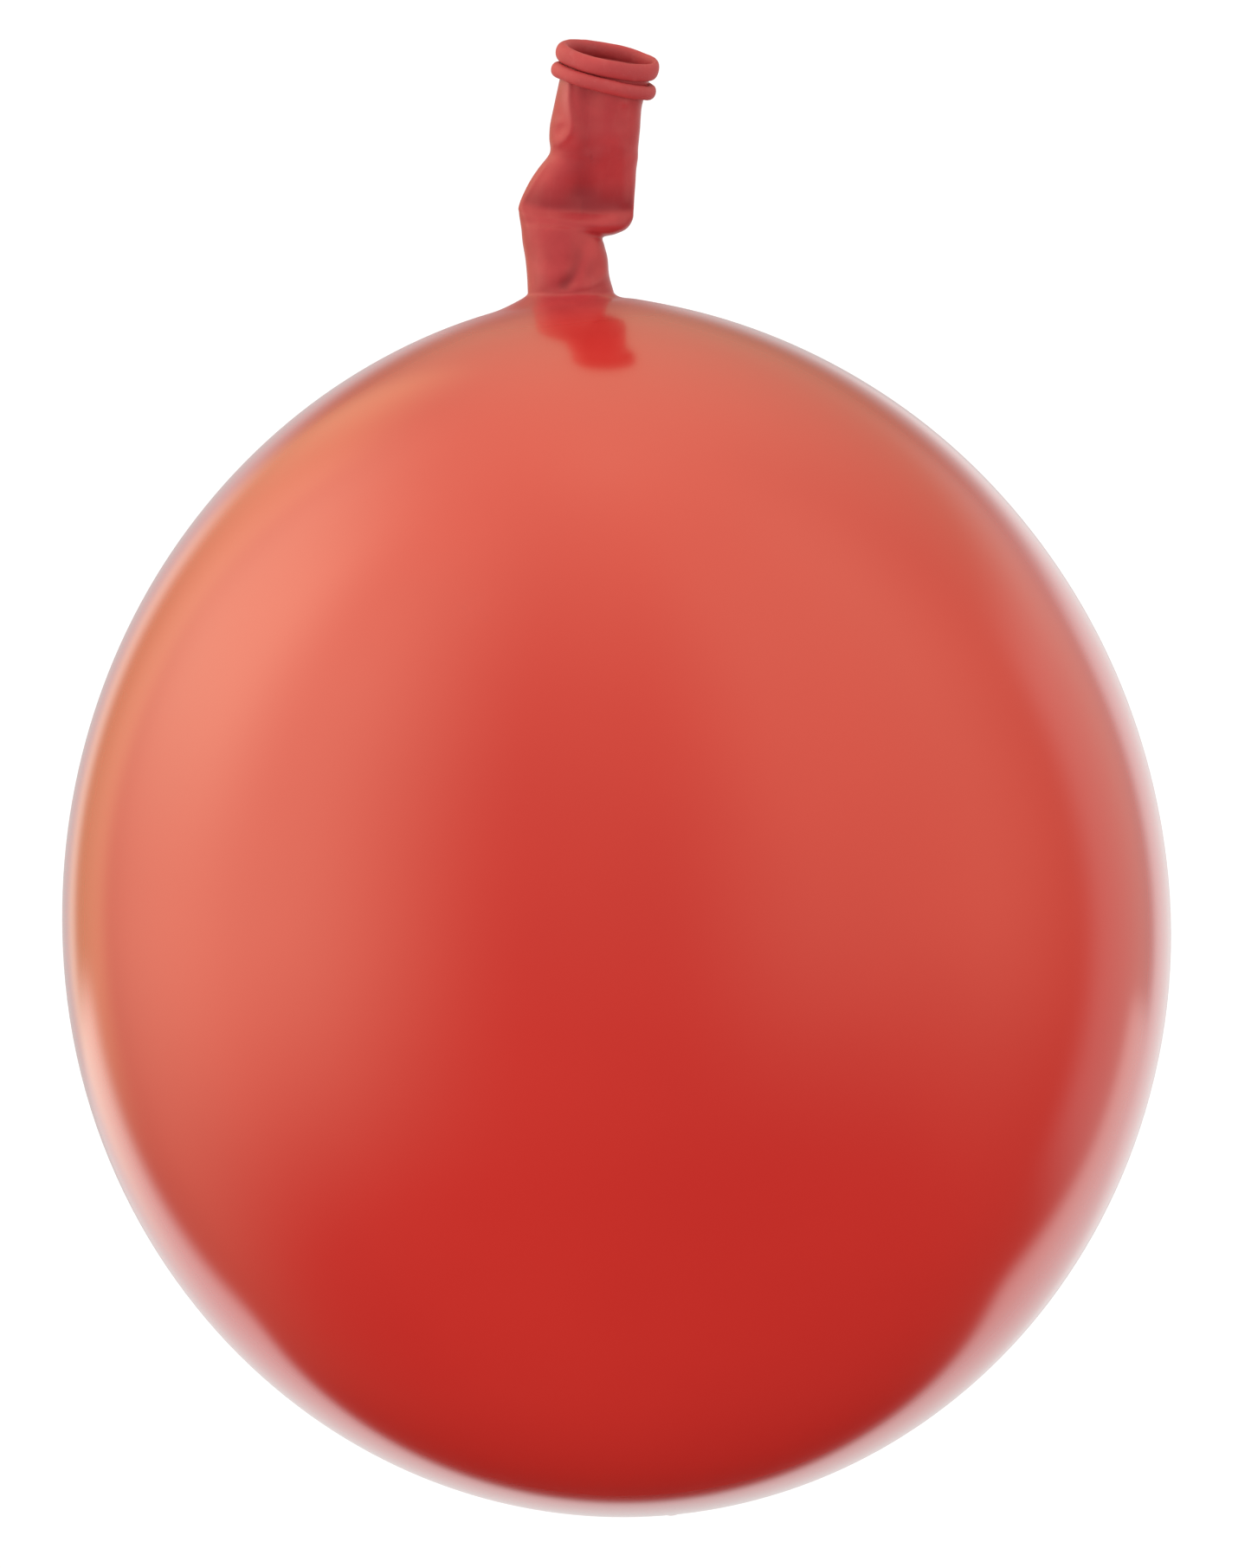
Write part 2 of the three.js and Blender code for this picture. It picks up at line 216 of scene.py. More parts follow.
class NeckRing:
    """One ring across the neck, in metres: a point on it, and the directions out of it and up it."""

    def __init__(self, left_x, left_z, right_x, right_z, front, back, tip):
        root = hinge["neck_sway"]
        level = (back - front) / 2 * MM
        left = root + Vector((left_x * MM, level, left_z * MM))
        right = root + Vector((right_x * MM, level, right_z * MM))
        self.middle = (left + right) / 2
        self.side = (right - left) / 2
        lean = math.radians(tip)
        self.deep = Vector((0, -math.cos(lean), -math.sin(lean))) * (front + back) / 2 * MM
        self.up = self.deep.cross(self.side).normalized() * -1
        if self.up.z < 0:
            self.up = -self.up

    def point(self, turn):
        """turn 0 is the right edge, a quarter turn the front."""
        return self.middle + self.side * math.cos(turn) + self.deep * math.sin(turn)

    def outward(self, turn):
        along = self.deep * math.cos(turn) - self.side * math.sin(turn)
        out = along.cross(self.up).normalized()
        return out if out.dot(self.point(turn) - self.middle) > 0 else -out


def beside(line, x, z):
    """Signed distance of (x, z) from a bent line, positive on its right, and how far along the line."""
    best = None
    for count, ((ax, az), (bx, bz)) in enumerate(zip(line, line[1:])):
        run_x, run_z = bx - ax, bz - az
        share = ((x - ax) * run_x + (z - az) * run_z) / (run_x ** 2 + run_z ** 2)
        share = min(max(share, 0), 1)
        off_x, off_z = x - ax - share * run_x, z - az - share * run_z
        distance = math.hypot(off_x, off_z)
        if best is None or distance < abs(best[0]):
            right = off_x * run_z - off_z * run_x >= 0
            best = (distance if right else -distance, (count + share) / (len(line) - 1))
    return best


def fold_height(folds, x, z):
    """The height in millimetres that the folds add at (x, z)."""
    total = 0
    for line, first, last, left_reach, right_reach in folds:
        distance, along = beside(line, x, z)
        reach = right_reach if distance > 0 else left_reach
        if abs(distance) < 3 * reach:
            total += (first + (last - first) * along) * math.exp(-(distance / reach) ** 2)
    return total


def crown_height(radius):
    """Height of the film's outside above the widest ring, before the neck's fillet."""
    share = radius / BODY_RADIUS
    return WIDE_HEIGHT + CROWN_RISE * math.sqrt(1 - share ** 2) + CROWN_PULL * (1 - share) ** 2


def finish_mesh(bm, name, material):
    """Turns a bmesh into a smooth-shaded object with its material."""
    mesh = bpy.data.meshes.new(name)
    bm.normal_update()
    bm.to_mesh(mesh)
    bm.free()
    mesh.materials.append(material)
    mesh.shade_smooth()
    piece = bpy.data.objects.new(name, mesh)
    bpy.context.scene.collection.objects.link(piece)
    return piece


def spin_outline(outline, steps=TURN_STEPS, closed=False):
    """A bmesh spun a full turn about the upright axis from (radius, height) points."""
    bm = bmesh.new()
    verts = [bm.verts.new((radius, 0, height)) for radius, height in outline]
    pairs = list(zip(verts, verts[1:]))
    if closed:
        pairs.append((verts[-1], verts[0]))
    edges = [bm.edges.new(pair) for pair in pairs]
    bmesh.ops.spin(
        bm, geom=verts + edges, cent=(0, 0, 0), axis=(0, 0, 1), angle=math.tau, steps=steps, use_merge=True
    )
    bmesh.ops.remove_doubles(bm, verts=bm.verts, dist=1e-7)
    bmesh.ops.recalc_face_normals(bm, faces=bm.faces)
    return bm


# ---------------------------------------------------------------- shader wires

class Wire:
    """One output socket. Sums on it add the Math nodes that they stand for."""

    def __init__(self, maker, socket):
        self.maker = maker
        self.socket = socket

    def math(self, operation, *values):
        return self.maker.add("Math", {"operation": operation}, dict(enumerate(values)))

    def __add__(self, other):
        return self.math("ADD", self, other)

    def __radd__(self, other):
        return self.math("ADD", other, self)

    def __sub__(self, other):
        return self.math("SUBTRACT", self, other)

    def __rsub__(self, other):
        return self.math("SUBTRACT", other, self)

    def __mul__(self, other):
        return self.math("MULTIPLY", self, other)

    def __rmul__(self, other):
        return self.math("MULTIPLY", other, self)

    def __truediv__(self, other):
        return self.math("DIVIDE", self, other)

    def __abs__(self):
        return self.math("ABSOLUTE", self)

    def sibling(self, out):
        """Another output of the same node, by its place or its name."""
        return Wire(self.maker, self.socket.node.outputs[out])

    def rise(self, low, high):
        """0 below low, 1 above high, with a soft rise; high may be the smaller one."""
        limits = {"Value": self, "From Min": low, "From Max": high}
        return self.maker.add("MapRange", {"interpolation_type": "SMOOTHSTEP"}, limits)


class Wiring:
    """Adds nodes to one node tree."""

    def __init__(self, tree):
        self.tree = tree
        tree.nodes.clear()

    def add(self, kind, settings=None, inputs=None, out=0):
        """A node of that kind, with its settings made before its inputs are given values or links."""
        node = self.tree.nodes.new("ShaderNode" + kind)
        for name, value in (settings or {}).items():
            if name == "stops":
                self.set_stops(node.color_ramp, value)
            else:
                setattr(node, name, value)
        for name, value in (inputs or {}).items():
            if isinstance(value, Wire):
                self.tree.links.new(value.socket, node.inputs[name])
            else:
                node.inputs[name].default_value = value
        return Wire(self, node.outputs[out]) if len(node.outputs) else node

    @staticmethod
    def set_stops(ramp, stops):
        while len(ramp.elements) < len(stops):
            ramp.elements.new(0.5)
        for element, (place, colour) in zip(ramp.elements, stops):
            element.position = place
            element.color = (*colour, 1)

    def tint(self, factor, first, second, blend="MIX"):
        """The first colour turning into the second as factor goes from 0 to 1."""
        colours = {0: factor, 6: whole(first), 7: whole(second)}
        return self.add("Mix", {"data_type": "RGBA", "blend_type": blend}, colours, out=2)

    def grain(self, coords, scale, detail=2.0, roughness=0.5):
        """A soft noise between 0 and 1."""
        sizes = {"Vector": coords, "Scale": scale, "Detail": detail, "Roughness": roughness}
        return self.add("TexNoise", {}, sizes)


def whole(colour):
    """A colour with its alpha; a wire passes as it is."""
    return colour if isinstance(colour, Wire) else (*colour, 1)


# ---------------------------------------------------------------- materials

FILM_RED = (0.640, 0.029, 0.020)
FILM_DEEP = (0.610, 0.025, 0.018)
SLACK_RED = (0.500, 0.044, 0.048)
SLACK_DEEP = (0.440, 0.036, 0.041)
# Painted shade: the darker red that the neck's shaded folds are coloured.
PAINTED_SHADE_RED = (0.285, 0.022, 0.028)
# Pale bloom of latex; on the neck's raised folds it also serves as painted highlight.
BLOOM_AND_HIGHLIGHT = (0.58, 0.15, 0.14)
VALVE_PALE = (0.62, 0.30, 0.24)
VALVE_SHADE = (0.50, 0.20, 0.16)
ROLL_RED = (0.540, 0.056, 0.056)
ROLL_DEEP = (0.460, 0.042, 0.045)
FLECK_PALE = (0.80, 0.62, 0.58)
STREAK_STRETCH = 4.0  # the fine streaks on slack film run this much longer than wide
STREAK_LEAN = 0.28  # radians, along the leaning neck
LATEX_IOR = 1.5
FILM_TURNS = 1.0 * MM  # below the sway hinge, where the film is fully slack
SLACK_DEPTH = 10.0 * MM  # below the sway hinge, where it begins to slacken
SHOULDER_DEPTH = 20.0 * MM  # below the sway hinge, where its gloss begins to dull


def latex_film():
    """Stretched film with a clear gloss on the body, turning into slack, duller film on the neck."""
    material = bpy.data.materials.new("latex_film")
    material.use_nodes = True
    wiring = Wiring(material.node_tree)
    coords = wiring.add("TexCoord", out=3)
    place = wiring.add("SeparateXYZ", {}, {"Vector": coords})
    height = place.sibling(2)
    root_z = hinge["neck_sway"].z
    slack = height.rise(root_z - SLACK_DEPTH, root_z - FILM_TURNS)
    shoulder = height.rise(root_z - SHOULDER_DEPTH, root_z - FILM_TURNS)
    nub = height.rise(9 * MM, 1 * MM)

    cloud = wiring.grain(coords, 9.0, 3.0)
    speck = wiring.grain(coords, 900.0, 2.0)
    stretched = wiring.tint(cloud.rise(0.3, 0.7), FILM_RED, FILM_DEEP)
    stretched = wiring.tint(nub * 0.6, stretched, SLACK_DEEP)

    stretch = {"Vector": coords, "Scale": (1.0, 1.0, STREAK_STRETCH), "Rotation": (0, STREAK_LEAN, 0)}
    streaks = wiring.add("Mapping", {"vector_type": "TEXTURE"}, stretch)
    streak = wiring.grain(streaks, 320.0, 3.0, 0.6)
    dapple = wiring.grain(coords, 110.0, 3.0, 0.55)
    slack_base = wiring.tint(dapple.rise(0.3, 0.7), SLACK_RED, SLACK_DEEP)
    ridge = wiring.add("Attribute", {"attribute_name": "ridge"}, out=2)
    doubled = wiring.add("Attribute", {"attribute_name": "doubled"}, out=2)
    # Painted shade: the slack film is coloured darker where the neck's painted shade attribute is set.
    slack_base = wiring.tint(doubled.rise(0, 1), slack_base, PAINTED_SHADE_RED)
    # Painted highlight on the neck's raised folds, added to the real streaky bloom of slack latex; both tint
    # the film paler.
    ridge_highlight_and_bloom = ridge.rise(0.1, 1.1) * 0.4 + streak.rise(0.55, 0.8) * 0.08
    slack_tint = wiring.tint(ridge_highlight_and_bloom, slack_base, BLOOM_AND_HIGHLIGHT)

    relief = speck * 0.10 + slack * (streak * 0.30 + dapple * 0.6)
    normal = wiring.add("Bump", {}, {"Strength": 0.22, "Distance": 0.12 * MM, "Height": relief})
    gloss = 0.13 + cloud * 0.03 + shoulder * 0.20
    tight = {
        "Base Color": stretched,
        "Roughness": gloss,
        "IOR": LATEX_IOR,
        "Normal": normal,
        "Coat Weight": 1.0,
        "Coat Roughness": 0.16,
        "Coat IOR": LATEX_IOR,
    }
    loose = {
        "Base Color": slack_tint,
        "Roughness": 0.29 + dapple * 0.08,
        "Normal": normal,
        "Specular IOR Level": 0.42,
    }
    tight_shader = wiring.add("BsdfPrincipled", {}, tight)
    loose_shader = wiring.add("BsdfPrincipled", {}, loose)
    shader = wiring.add("MixShader", {}, {0: slack, 1: tight_shader, 2: loose_shader})
    wiring.add("OutputMaterial", {}, {"Surface": shader})
    return material


def latex_roll():
    """Thick rolled latex: satin, dusted, with pale flecks where the roll was stretched."""
    material = bpy.data.materials.new("latex_roll")
    material.use_nodes = True
    wiring = Wiring(material.node_tree)
    coords = wiring.add("TexCoord", out=3)
    dust = wiring.grain(coords, 420.0, 4.0, 0.6)
    cloud = wiring.grain(coords, 95.0, 3.0)
    fleck = wiring.grain(coords, 1150.0, 2.0, 0.7)
    colour = wiring.tint(cloud.rise(0.3, 0.7), ROLL_RED, ROLL_DEEP)
    colour = wiring.tint(dust.rise(0.5, 0.75) * 0.22, colour, BLOOM_AND_HIGHLIGHT)
    colour = wiring.tint(fleck.rise(0.70, 0.80) * cloud.rise(0.5, 0.62) * 0.3, colour, FLECK_PALE)
    normal = wiring.add("Bump", {}, {"Strength": 0.35, "Distance": 0.15 * MM, "Height": dust})
    shader = wiring.add(
        "BsdfPrincipled", {},
        {"Base Color": colour, "Roughness": 0.46 + dust * 0.16, "IOR": LATEX_IOR, "Normal": normal},
    )
    wiring.add("OutputMaterial", {}, {"Surface": shader})
    return material


def latex_valve():
    """Pale undyed latex of the valve inside."""
    material = bpy.data.materials.new("latex_valve")
    material.use_nodes = True
    wiring = Wiring(material.node_tree)
    coords = wiring.add("TexCoord", out=3)
    cloud = wiring.grain(coords, 160.0, 3.0)
    colour = wiring.tint(cloud.rise(0.3, 0.7), VALVE_PALE, VALVE_SHADE)
    normal = wiring.add("Bump", {}, {"Strength": 0.2, "Distance": 0.1 * MM, "Height": cloud})
    shader = wiring.add(
        "BsdfPrincipled", {},
        {"Base Color": colour, "Roughness": 0.40 + cloud * 0.15, "IOR": LATEX_IOR, "Normal": normal},
    )
    wiring.add("OutputMaterial", {}, {"Surface": shader})
    return material


# ---------------------------------------------------------------- film

STATION_RISE = MM  # in the spun outline, one neck ring to the next
EDGE = 1e-7  # heights of the outline this close are the same height


def film_outline():
    """(radius, height) from the bottom pole to the rim. Above the neck's root, height counts neck rings."""
    points = []
    for count in range(LOWER_RINGS):
        angle = math.pi / 2 * (1 - (count / LOWER_RINGS) ** 1.35)
        radius = BODY_RADIUS * math.cos(angle)
        points.append((radius, WIDE_HEIGHT * (1 - math.sin(angle))))
    last = math.acos(FILLET_START / BODY_RADIUS)
    for count in range(UPPER_RINGS):
        radius = BODY_RADIUS * math.cos(last * count / UPPER_RINGS)
        points.append((radius, crown_height(radius)))
    start_z = crown_height(FILLET_START)
    slope = (crown_height(FILLET_START - MM) - start_z) / MM
    corner_z = start_z + slope * (FILLET_START - NECK_RADIUS)
    for count in range(FILLET_RINGS):
        share = count / FILLET_RINGS
        radius = NECK_RADIUS + (FILLET_START - NECK_RADIUS) * (1 - share) ** 2
        height = start_z * (1 - share) ** 2 + 2 * corner_z * share * (1 - share) + neck_foot * share ** 2
        points.append((radius, height))
    for first in range(RIM_STATION):
        here, there = neck_ring(first), neck_ring(first + 1)
        gap = max((there.point(turn) - here.point(turn)).length for turn in (0, math.pi / 2, math.pi)) / MM
        steps = max(2, round(gap / NECK_RING_STEP))
        for step in range(steps):
            points.append((NECK_RADIUS, neck_foot + (first + step / steps) * STATION_RISE))
    points.append((NECK_RADIUS, neck_foot + RIM_STATION * STATION_RISE))
    return points


neck_first = neck_ring(0)
neck_foot = neck_first.middle.z


def shape_body(vert, radius, turn):
    """Shifts the crown under the neck, eases the fillet into the neck and swells the film a little."""
    place = vert.co.copy()
    if place.z > WIDE_HEIGHT:
        place.x += ROOT_SHIFT * math.exp(-max(radius - NECK_RADIUS, 0) / SHIFT_FADE)
    wave = noise.noise(place * 9.0) * 0.5 + noise.noise(place * 21.0) * 0.2
    if radius > FILLET_START:
        place += place.normalized() * wave * 0.35 * MM * smooth(FILLET_START, 40 * MM, radius)
    if place.z < WIDE_HEIGHT:
        place.z -= NUB_HEIGHT * math.exp(-(radius / NUB_RADIUS) ** 2)
    if radius < FILLET_START and place.z > WIDE_HEIGHT:
        ease = smooth(FILLET_START, NECK_RADIUS, radius) if radius > NECK_RADIUS else 1
        foot = Vector((NECK_RADIUS * math.cos(turn) + ROOT_SHIFT, -NECK_RADIUS * math.sin(turn), neck_foot))
        place += (neck_first.point(turn) - foot) * ease
    return place


def shape_neck(station, turn, rings):
    """A neck vertex's place with the folds laid on, its fold height in millimetres, and its painted shade.
    """
    key = round(station, 5)
    if key not in rings:
        rings[key] = neck_ring(station)
    place = rings[key].point(turn)
    from_root = (place - hinge["neck_sway"]) / MM
    facing = math.sin(turn)
    dark = 0
    if facing >= 0:
        # Painted shade: how much darker the film is coloured here, from the painted shade patches.
        dark = fold_height(PAINTED_SHADE_PATCHES, from_root.x, from_root.z) * smooth(0.02, 0.3, facing)
        height = fold_height(FRONT_FOLDS, from_root.x, from_root.z) * smooth(0.02, 0.42, facing)
        height *= smooth(0, 0.7, station)
        place.y -= height * MM
    else:
        height = fold_height(BACK_FOLDS, from_root.x, from_root.z) * smooth(0.02, 0.42, -facing)
        height *= smooth(0, 0.7, station)
        place.y += height * MM
    ripple = noise.noise(Vector((from_root.x * 0.16, facing * 1.6, from_root.z * 0.22)))
    calm = smooth(0, 2, station) * (1 - smooth(RIM_STATION - 4, RIM_STATION - 2, station))
    place.y -= 0.35 * MM * ripple * calm * facing
    return place, height, dark


def make_skin():
    """The whole film as one sheet; each vertex keeps its outline height, its fold and its painted shade."""
    bm = spin_outline(film_outline())
    along = bm.verts.layers.float.new("along")
    ridge = bm.verts.layers.float.new("ridge")
    doubled = bm.verts.layers.float.new("doubled")
    rings = {}
    for vert in bm.verts:
        vert[along] = vert.co.z
        radius = math.hypot(vert.co.x, vert.co.y)
        turn = math.atan2(-vert.co.y, vert.co.x)
        station = (vert.co.z - neck_foot) / STATION_RISE
        if station > -1e-6 and radius < NECK_RADIUS + 1e-6:
            vert.co, vert[ridge], vert[doubled] = shape_neck(max(station, 0), turn, rings)
        else:
            vert.co = shape_body(vert, radius, turn)
    bm.normal_update()
    outward = bm.verts.layers.float_vector.new("outward")
    for vert in bm.verts:
        vert[outward] = vert.normal
    return bm


def part_film(skin, name, low, high, material):
    """The skin between two heights of the outline, with a wall, shaded as the whole skin is."""
    bm = skin.copy()
    along = bm.verts.layers.float["along"]
    outward = bm.verts.layers.float_vector["outward"]
    far = [face for face in bm.faces if not all(low <= vert[along] <= high for vert in face.verts)]
    bmesh.ops.delete(bm, geom=far, context="FACES")
    outer = {vert.co.copy().freeze(): vert[outward].copy() for vert in bm.verts}
    bmesh.ops.solidify(bm, geom=list(bm.faces), thickness=FILM_WALL)
    bm.normal_update()
    normals = []
    for vert in bm.verts:
        kept = outer.get(vert.co.copy().freeze())
        normals.append(kept if kept is not None else vert.normal.copy())
    piece = finish_mesh(bm, name, material)
    piece.data.normals_split_custom_set_from_vertices(normals)
    return piece


# ---------------------------------------------------------------- rolled rings

SPUN_RADIUS = 1.0  # a ring's section is spun at this radius, then laid on its oval


def rolled_ring(name, ring, material):
    """A rolled edge round the neck: an oval section spun round and laid on its oval, slightly uneven."""
    base = NeckRing(*ring["oval"])
    section = 28
    outline = []
    for count in range(section):
        angle = math.tau * count / section
        outline.append((SPUN_RADIUS + math.cos(angle) * MM, math.sin(angle) * ring["height"]))
    bm = spin_outline(outline, steps=160, closed=True)
    for vert in bm.verts:
        turn = math.atan2(-vert.co.y, vert.co.x)
        out = math.hypot(vert.co.x, vert.co.y) - SPUN_RADIUS
        left, right = ring["wide"]
        wide = left + (right - left) * smooth(-1, 1, math.cos(turn))
        spot = Vector((math.cos(turn) * 2.2, math.sin(turn) * 2.2, left * 4))
        swell = 1 + 0.05 * noise.noise(spot) + 0.02 * noise.noise(spot * 3.1)
        lift = 0.10 * MM * noise.noise(spot * 1.3 + Vector((5, 0, 0)))
        vert.co = (
            base.point(turn)
            + base.outward(turn) * out * wide * swell
            + base.up * (vert.co.z * swell + lift)
        )
    bmesh.ops.recalc_face_normals(bm, faces=bm.faces)
    return finish_mesh(bm, name, material)


# ---------------------------------------------------------------- valve

def valve_collar(material):
    """The moulded ring in the neck's root that holds the valve's lips, with a flange and a grip bead."""
    low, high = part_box("valve_collar")
    centre = Vector(((low.x + high.x) / 2, (low.y + high.y) / 2, 0))
    flange = (high.x - low.x) / 2 - 0.1 * MM
    tube = flange - 4.4 * MM
    wall = 1.2 * MM
    top, bottom = high.z - 0.1 * MM, low.z + 0.1 * MM
    outline = [
        (tube - wall, bottom + 0.3 * MM),
        (tube - wall, top - 0.4 * MM),
        (tube - wall + 0.4 * MM, top),
        (flange - 0.5 * MM, top - 1.9 * MM),
        (flange, top - 2.3 * MM),
        (flange - 0.4 * MM, top - 2.8 * MM),
        (tube + 0.8 * MM, top - 2.6 * MM),
        (tube, top - 3.4 * MM),
        (tube, bottom + 1.9 * MM),
        (tube + 0.35 * MM, bottom + 1.5 * MM),
        (tube, bottom + 1.1 * MM),
        (tube, bottom + 0.3 * MM),
        (tube - 0.3 * MM, bottom),
        (tube - wall + 0.3 * MM, bottom),
    ]
    bm = spin_outline(outline, steps=72, closed=True)
    bmesh.ops.translate(bm, verts=bm.verts, vec=centre)
    return finish_mesh(bm, "valve_collar_moulding", material)


LIP_NOTCH = math.tan(math.radians(13))  # slope of a lip's top edge, which clears the collar as it swings


def valve_lip(node, facing, material):
    """One flat lip of the valve: a film that goes from a half-round root to a straight edge."""
    low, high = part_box(node)
    bm = bmesh.new()
    bmesh.ops.create_grid(bm, x_segments=28, y_segments=24, size=0.5)
    wide, deep = (high.x - low.x) / 2, (high.y - low.y)
    for vert in bm.verts:
        across, share = vert.co.x * 2, vert.co.y + 0.5
        narrow = 1 - 0.10 * smooth(0.2, 1, share)
        root_bow = math.sqrt(max(1 - across ** 2 * 0.96, 0)) * deep * 0.85
        bow = root_bow * (1 - smooth(0.0, 0.9, share) * 0.94)
        top = high.z - 0.2 * MM - root_bow * LIP_NOTCH
        vert.co = Vector((
            (low.x + high.x) / 2 + across * wide * narrow * 0.97,
            (high.y if facing < 0 else low.y) + facing * bow,
            top + (low.z + 0.3 * MM - top) * share,
        ))
    bmesh.ops.recalc_face_normals(bm, faces=bm.faces)
    bmesh.ops.solidify(bm, geom=list(bm.faces), thickness=0.35 * MM)
    return finish_mesh(bm, node + "_film", material)


# ---------------------------------------------------------------- studio

STUDIO_LEAN = math.radians(5.44)  # the balloon leans this far to the left as it hangs
STUDIO_RIGHT = Vector((math.cos(STUDIO_LEAN), 0, -math.sin(STUDIO_LEAN)))
STUDIO_UP = Vector((math.sin(STUDIO_LEAN), 0, math.cos(STUDIO_LEAN)))
CAMERA_DISTANCE = 4.0
CAMERA_RISE = math.radians(2.5)
VIEW_TALL = 0.3962
VIEW_AIM = Vector((0.0057, 0, 0.185))

# Soft boxes in reflection: compass angle (0 faces the camera, positive to the right), half width, edge,
# elevation, half height, edge, strength. Angles are in degrees.
WARM_BOXES = (
    (-82, 10, 55, 16, 14, 50, 1.18),
    (-98, 16, 50, -8, 10, 44, 0.18),
    (-112, 8, 28, 32, 6, 26, 0.58),
    (62, 18, 38, 22, 16, 46, 0.43),
)
WHITE_BOXES = (
    (178, 25, 8, -1, 12, 14, 0.62),
    (176, 36, 10, -19, 11, 4, 0.80),
    (136, 14, 12, 2, 18, 14, 0.34),
    (162, 9, 10, -1, 10, 13, 0.88),
)
AMBER_BOX = (-146, 9, 8, 16, 20, 18, 0.46)
WARM = (1.0, 0.98, 0.66, 1)
WHITE = (1.0, 0.97, 0.96, 1)
AMBER = (1.0, 0.75, 0.35, 1)
ROOM_STOPS = (
    (-90, 0.0), (-45, 0.01), (-17, 0.09), (0, 0.21), (17, 0.34), (41, 0.58), (60, 0.88), (90, 1.26)
)
ROOM_PEAK = 1.26


def studio_light():
    """White behind everything, soft boxes for the gloss and an even soft fill for the rest."""
    world = bpy.data.worlds.new("studio")
    bpy.context.scene.world = world
    world.use_nodes = True
    world.cycles.sampling_method = "NONE"
    wiring = Wiring(world.node_tree)
    way = wiring.add("TexCoord", out=0)

    def part(direction):
        return wiring.add("VectorMath", {"operation": "DOT_PRODUCT"}, {0: way, 1: direction}, out=1)

    right, up, away = part(STUDIO_RIGHT), part(STUDIO_UP), part(Vector((0, 1, 0)))
    degrees = 180 / math.pi
    level = up.math("ARCSINE", up) * degrees
    compass = right.math("ARCTAN2", right, 0 - away) * degrees

    def box(centre, half, edge, tall, half_tall, edge_tall, strength):
        turned = abs(compass - centre)
        turned = right.math("MINIMUM", turned, 360 - turned)
        upright = abs(level - tall).rise(half_tall + edge_tall, half_tall)
        return turned.rise(half + edge, half) * upright * strength

    stops = [((angle + 90) / 180, (value / ROOM_PEAK,) * 3) for angle, value in ROOM_STOPS]
    room = wiring.add("ValToRGB", {"stops": stops}, {0: level / 180 + 0.5}) * ROOM_PEAK
    behind = abs(compass).rise(138, 154) * (1 - level.rise(8, 32))
    warm = room * (1 - behind)
    for values in WARM_BOXES:
        warm = warm + box(*values)
    white = box(*WHITE_BOXES[0])
    for values in WHITE_BOXES[1:]:
        white = white.math("MAXIMUM", white, box(*values))
    fill = 0.80 + up.rise(-1, 0.1) * 0.20 + abs(right) * 0.15 + right.rise(-0.2, -1) * 0.18
    fill = fill - away.rise(-0.1, 1) * 0.14 - up.rise(0.1, 0.9) * 0.10 - up.rise(-0.5, -1) * 0.10
    seen = wiring.add("LightPath")
    soft = seen.sibling("Is Diffuse Ray")
    warm = warm * (1 - seen) * (1 - soft)
    amber = box(*AMBER_BOX) * (1 - seen) * (1 - soft)
    white = (white * (1 - soft) + fill * soft) * (1 - seen) + seen * 1.1
    lamps = wiring.add("Background", {}, {"Color": WARM, "Strength": warm})
    sheet = wiring.add("Background", {}, {"Color": WHITE, "Strength": white})
    glow = wiring.add("Background", {}, {"Color": AMBER, "Strength": amber})
    both = wiring.add("AddShader", {}, {0: lamps, 1: sheet})
    every = wiring.add("AddShader", {}, {0: both, 1: glow})
    wiring.add("OutputWorld", {}, {"Surface": every})


def neck_lamp(name, way, size, energy):
    """A snooted lamp, aimed at the neck's folds from that way."""
    lamp = bpy.data.lights.new(name, "SPOT")
    lamp.spot_size = math.radians(5.5)
    lamp.spot_blend = 1.0
    lamp.shadow_soft_size = size
    lamp.energy = energy
    holder = bpy.data.objects.new(name, lamp)
    bpy.context.scene.collection.objects.link(holder)
    aim = hinge["neck_fold"] + Vector((0.002, 0, 0.006))
    place = aim + way
    holder.location = place
    holder.rotation_mode = "QUATERNION"
    holder.rotation_quaternion = (aim - place).to_track_quat("-Z", "Y")
    holder.visible_camera = False
    holder.visible_glossy = False


def pale_floor():
    """A plain pale floor well under the hanging balloon."""
    bm = bmesh.new()
    bmesh.ops.create_circle(bm, cap_ends=True, cap_tris=False, segments=96, radius=1.5)
    bmesh.ops.translate(bm, verts=bm.verts, vec=(0, 0, -0.45))
    mesh = bpy.data.meshes.new("pale_floor")
    bm.to_mesh(mesh)
    bm.free()
    material = bpy.data.materials.new("pale_floor")
    material.use_nodes = True
    wiring = Wiring(material.node_tree)
    coords = wiring.add("TexCoord", out=3)
    colour = wiring.tint(wiring.grain(coords, 3.0), (0.93, 0.93, 0.93), (0.88, 0.88, 0.88))
    shader = wiring.add("BsdfPrincipled", {}, {"Base Color": colour, "Roughness": 0.7})
    wiring.add("OutputMaterial", {}, {"Surface": shader})
    mesh.materials.append(material)
    floor = bpy.data.objects.new("pale_floor", mesh)
    bpy.context.scene.collection.objects.link(floor)
    floor.visible_diffuse = False
    floor.visible_glossy = False
    floor.visible_shadow = False


